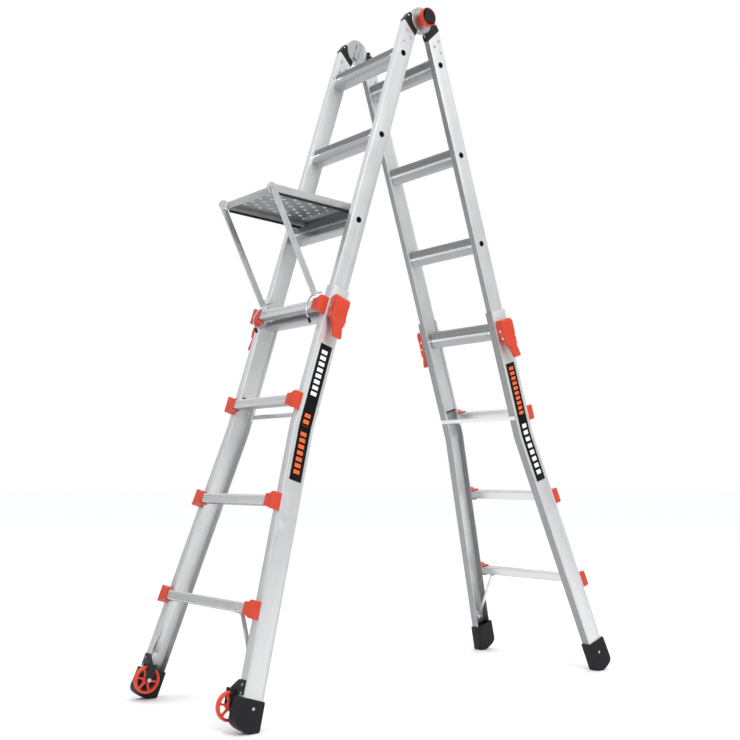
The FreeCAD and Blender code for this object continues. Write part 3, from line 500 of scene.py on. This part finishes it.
# ------------------------------------------------------------------ hinge
for hand, sx in (("left", -1), ("right", 1)):
    bm = bmesh.new()
    prof = [(201.0, 17.0), (200.3, 20.0), (200.0, 27.5), (200.8, 29.3), (202.4, 30.0), (214.4, 30.0), (216.2, 29.4), (217.0, 28.9), (217.0, 28.3), (216.4, 27.85),
            (213.0, 27.8), (205.2, 27.8), (204.5, 25.2), (204.5, 5.0), (203.6, 4.1), (203.0, 4.1), (202.6, 10.05), (179.6, 10.05), (179.3, 11.0), (179.3, 16.2), (180.0, 17.0)]
    lathe_x(bm, "F", 0.0, 0.0, prof, 64, sx, True)
    # grip ridges round the rim
    for i in range(24):
        a = 2 * math.pi * i / 24
        c, s_ = math.cos(a), math.sin(a)
        b2 = [(29.8 * c - 1.1 * s_, 29.8 * s_ + 1.1 * c), (30.35 * c - 0.6 * s_, 30.35 * s_ + 0.6 * c), (30.35 * c + 0.6 * s_, 30.35 * s_ - 0.6 * c), (29.8 * c + 1.1 * s_, 29.8 * s_ - 1.1 * c)]
        prism_x(bm, "F", 203.0 * sx, 214.0 * sx, b2)
    add("hinge_knob_%s" % hand, finish_mesh(bm), "front_inner", "orange_plastic", "F", ("hinge_knob_rings",))
    # three-lobed button
    bm = bmesh.new()
    outline = []
    for i in range(96):
        a = 2 * math.pi * i / 96
        outline.append((a, 22.4 + 3.8 * math.cos(3 * a + math.pi)))
    layers = [(213.5, 0.97), (214.2, 1.0), (219.4, 1.0), (220.6, 0.965), (221.3, 0.90), (221.5, 0.80), (221.1, 0.62), (220.9, 0.30)]
    rings_mesh(bm, [[at("F", x * sx, r * q * math.cos(a), r * q * math.sin(a)) for a, r in outline] for x, q in layers])
    add("hinge_button_cap_%s" % hand, finish_mesh(bm), "hinge_lock_" + hand, "black_plastic", "F", ("hinge_button_" + hand,))
    refine("hinge_lock_bar_" + hand, 1.2, 3, shortest=3.0)
    # turned rings on the hinge plates' faces
    bm = bmesh.new()
    for x0, d in ((178.9, 1), (161.6, -1)):
        lathe_x(bm, "F", 0.0, 0.0, [(x0 - 0.2 * d, 40.8), (x0 + 0.25 * d, 40.4), (x0 + 0.4 * d if d > 0 else x0 - 0.35, 39.6), (x0 + 0.4 * d if d > 0 else x0 - 0.35, 36.2), (x0 + 0.2 * d, 35.4), (x0 - 0.2 * d, 35.0)], 72, sx, True)
    add("hinge_plate_ring_%s" % hand, finish_mesh(bm), "front_inner", "hinge_aluminium")
refine("hinge_pivot_pins", 0.5, 2)

# ------------------------------------------------------------------ wheels
WN, WS = 71.0, 2236.5
for hand, sx in (("left", -1), ("right", 1)):
    bm = bmesh.new()
    tyre = []
    for i in range(20):
        a = 2 * math.pi * i / 20
        tyre.append((233.5 + 8.0 * math.copysign(abs(math.cos(a)) ** 0.75, math.cos(a)), 36.6 + 4.4 * math.copysign(abs(math.sin(a)) ** 0.8, math.sin(a))))
    lathe_x(bm, "F", WN, WS, tyre, 72, sx, True)
    lathe_x(bm, "F", WN, WS, [(226.0, 4.05), (241.0, 4.05), (241.5, 4.6), (241.5, 8.6), (240.6, 9.6), (226.4, 9.6), (225.5, 8.6), (225.5, 4.6)], 40, sx, True)
    lathe_x(bm, "F", WN, WS, [(230.6, 9.2), (236.4, 9.2), (236.4, 12.6), (230.6, 12.6)], 40, sx, True)
    for i in range(6):
        a = 2 * math.pi * i / 6
        c, s_ = math.cos(a), math.sin(a)
        rings = []
        for q, w, t in ((8.5, 4.2, 5.6), (14.0, 3.1, 4.9), (26.0, 2.7, 4.4), (33.6, 3.8, 5.0)):
            ring = []
            for dx, dw in ((-t, -w * 0.7), (-t * 0.7, -w), (t * 0.7, -w), (t, -w * 0.7), (t, w * 0.7), (t * 0.7, w), (-t * 0.7, w), (-t, w * 0.7)):
                ring.append(at("F", (233.5 + dx) * sx, WN + q * c - dw * s_, WS + q * s_ + dw * c))
            rings.append(ring)
        rings_mesh(bm, rings)
    add("wheel_%s_moulding" % hand, finish_mesh(bm), "wheel_" + hand, "wheel_plastic", "F", ("wheel_" + hand,))
refine("wheel_brackets", 0.7, 2, shortest=2.0)
refine("wheel_axles", 0.6, 3)

# ------------------------------------------------------------------ platform
PY, PZ = -560.7 + YH, H - 652.6
DT = math.radians(2.6)


def deck_at(x, y, z):
    return Vector((x, PY + y * math.cos(DT) + z * math.sin(DT), PZ - y * math.sin(DT) + z * math.cos(DT))) / 1000.0


refine("platform_frame", 0.6, 2, shortest=3.0)
refine("platform_deck", 0.5, 2, shortest=10.0)
refine("platform_trims", 0.8, 2)
refine("platform_legs", 0.7, 2, shortest=8.0)
bm = bmesh.new()
for i in range(9):
    count = 5 if i % 2 == 0 else 4
    for j in range(count):
        cx, cy = (j - (count - 1) / 2.0) * 44.0, 50.0 + 28.5 * i
        for top in (1, -1):
            z0 = 6.4 if top > 0 else 4.1
            prof = [(0.0, 8.4), (0.55, 7.6), (1.0, 6.4), (1.05, 5.4), (0.7, 4.7), (0.0, 4.65)] if top > 0 else [
                (0.0, 8.2), (0.5, 7.2), (1.4, 6.4), (2.5, 5.9), (2.8, 5.3), (2.5, 4.75), (0.0, 4.65)]
            seg = 24
            layers = [[bm.verts.new(deck_at(cx + r * math.cos(2 * math.pi * q / seg), cy + r * math.sin(2 * math.pi * q / seg), z0 + h * top)) for q in range(seg)] for h, r in prof]
            for a, b in list(zip(layers, layers[1:])) + [(layers[-1], layers[0])]:
                for q in range(seg):
                    bm.faces.new((a[q], a[(q + 1) % seg], b[(q + 1) % seg], b[q]))
add("platform_grip_rings", finish_mesh(bm), "platform", "deck_aluminium", "F", (), MATS[("rail_aluminium", "X")])

ROUTE = [(131.5, -374.0, -946.0), (132.2, -399.0, -952.5), (133.6, -419.0, -968.5), (139.5, -435.0, -990.0), (143.5, -439.0, -1012.0), (144.0, -432.0, -1029.0)]


def smooth_line(points, per=8):
    pts = [Vector(p) for p in points]
    ext = [pts[0] * 2 - pts[1]] + pts + [pts[-1] * 2 - pts[-2]]
    out = []
    for i in range(1, len(ext) - 2):
        p0, p1, p2, p3 = ext[i - 1:i + 3]
        for j in range(per):
            t = j / per
            out.append(0.5 * ((2 * p1) + (p2 - p0) * t + (2 * p0 - 5 * p1 + 4 * p2 - p3) * t * t + (3 * p1 - p0 - 3 * p2 + p3) * t ** 3))
    out.append(pts[-1])
    return out


def tube(bm, line, radii, seg=16):
    up = Vector((1, 0, 0))
    rings = []
    for i, p in enumerate(line):
        d = (line[min(i + 1, len(line) - 1)] - line[max(i - 1, 0)]).normalized()
        a = (up - d * up.dot(d)).normalized()
        b = d.cross(a)
        r = radii[i] if isinstance(radii, list) else radii
        rings.append([p + (a * math.cos(2 * math.pi * q / seg) + b * math.sin(2 * math.pi * q / seg)) * r for q in range(seg)])
    rings_mesh(bm, rings)


base = Vector((0, YH, H))
bm, bt = bmesh.new(), bmesh.new()
for sx in (-1, 1):
    pts = [(base + Vector((x * sx, y, z))) / 1000.0 for x, y, z in ROUTE]
    tube(bm, smooth_line(pts), 0.0025)
    stub = (base + Vector((132.4 * sx, -404.5, -955.5))) / 1000.0
    end = (base + Vector((137.3 * sx, -404.5, -955.5))) / 1000.0
    lineb = [stub, end]
    a, b = Vector((0, 1, 0)), Vector((0, 0, 1))
    rings_mesh(bm, [[p + (a * math.cos(2 * math.pi * q / 16) + b * math.sin(2 * math.pi * q / 16)) * 0.003 for q in range(16)] for p in lineb])
    way = (pts[-1] - pts[-2]).normalized()
    tl = [pts[-1] + way * (0.0001 + 0.018 * t) for t in (0.0, 0.03, 0.1, 0.3, 0.7, 0.88, 0.96, 0.995)]
    tube(bt, tl, [0.0032, 0.0041, 0.0046, 0.0046, 0.0046, 0.0043, 0.0034, 0.0018], 24)
add("platform_hook_wires", finish_mesh(bm), "platform_legs", "zinc_steel", "F", ("platform_hooks",))
add("platform_hook_sleeves", finish_mesh(bt), "platform_legs", "black_plastic", "F", ("platform_hook_tips",))

# ------------------------------------------------------------------ stage, light, camera
bm = bmesh.new()
bmesh.ops.create_grid(bm, x_segments=2, y_segments=2, size=40.0)
me = bpy.data.meshes.new("studio_floor")
bm.to_mesh(me)
bm.free()
floor = bpy.data.objects.new("studio_floor", me)
scene.collection.objects.link(floor)
k = Nodes("floor_paint")
cloud = k.noise(k.mapped(), 1.5, 3.0)
k.link(k.mix(k.span(cloud, 0.0, 1.0), (0.94, 0.94, 0.94), (0.925, 0.925, 0.925)), k.b.inputs["Base Color"])
k.b.inputs["Roughness"].default_value = 0.7
me.materials.append(k.m)

world = bpy.data.worlds.new("studio")
scene.world = world
world.use_nodes = True
wt = world.node_tree
wt.nodes.clear()
wo = wt.nodes.new("ShaderNodeOutputWorld")
bg1 = wt.nodes.new("ShaderNodeBackground")
bg1.inputs["Color"].default_value = (0.97, 0.98, 1.0, 1.0)
wc = wt.nodes.new("ShaderNodeTexCoord")
wx = wt.nodes.new("ShaderNodeSeparateXYZ")
wr = wt.nodes.new("ShaderNodeMapRange")
wr.inputs["From Min"].default_value = 0.0
wr.inputs["From Max"].default_value = 1.0
wr.inputs["To Min"].default_value = 0.30
wr.inputs["To Max"].default_value = 1.52
wt.links.new(wc.outputs["Generated"], wx.inputs[0])
wt.links.new(wx.outputs["Z"], wr.inputs["Value"])
wt.links.new(wr.outputs["Result"], bg1.inputs["Strength"])
bg2 = wt.nodes.new("ShaderNodeBackground")
bg2.inputs["Color"].default_value = (1.0, 1.0, 1.0, 1.0)
bg2.inputs["Strength"].default_value = 1.0
lp = wt.nodes.new("ShaderNodeLightPath")
mx = wt.nodes.new("ShaderNodeMixShader")
wt.links.new(lp.outputs["Is Camera Ray"], mx.inputs[0])
wt.links.new(bg1.outputs[0], mx.inputs[1])
wt.links.new(bg2.outputs[0], mx.inputs[2])
wt.links.new(mx.outputs[0], wo.inputs["Surface"])


def area(name, place, aim, size, power, colour=(1, 1, 1)):
    d = bpy.data.lights.new(name, "AREA")
    d.shape = "DISK"
    d.size = size
    d.energy = power
    d.color = colour
    ob = bpy.data.objects.new(name, d)
    scene.collection.objects.link(ob)
    ob.location = place
    ob.rotation_euler = (Vector(aim) - Vector(place)).to_track_quat("-Z", "Y").to_euler()


area("key", (4.8, -0.6, 3.6), (0, 0, 1.1), 2.2, 120.0)
area("front_fill", (-1.2, -5.0, 3.0), (0, 0, 0.9), 2.4, 42.0)
area("back_light", (-2.5, 4.5, 4.2), (0, 0, 1.2), 2.6, 45.0)

cam_data = bpy.data.cameras.new("view")
cam_data.sensor_width = 36.0
cam_data.lens = 36.0 * 1054.163 / 740.0
cam_data.shift_x = (370.0 - 361.634) / 740.0
cam_data.shift_y = (380.788 - 370.0) / 740.0
cam_data.clip_end = 200.0
cam = bpy.data.objects.new("view", cam_data)
scene.collection.objects.link(cam)
cam.location = (2.672962, -2.273606 + YH / 1000.0, (H - 1500.10) / 1000.0)
cam.rotation_euler = (math.radians(90 + 5.12), 0.0, math.radians(51.015))
scene.camera = cam
scene.view_settings.view_transform = "Standard"
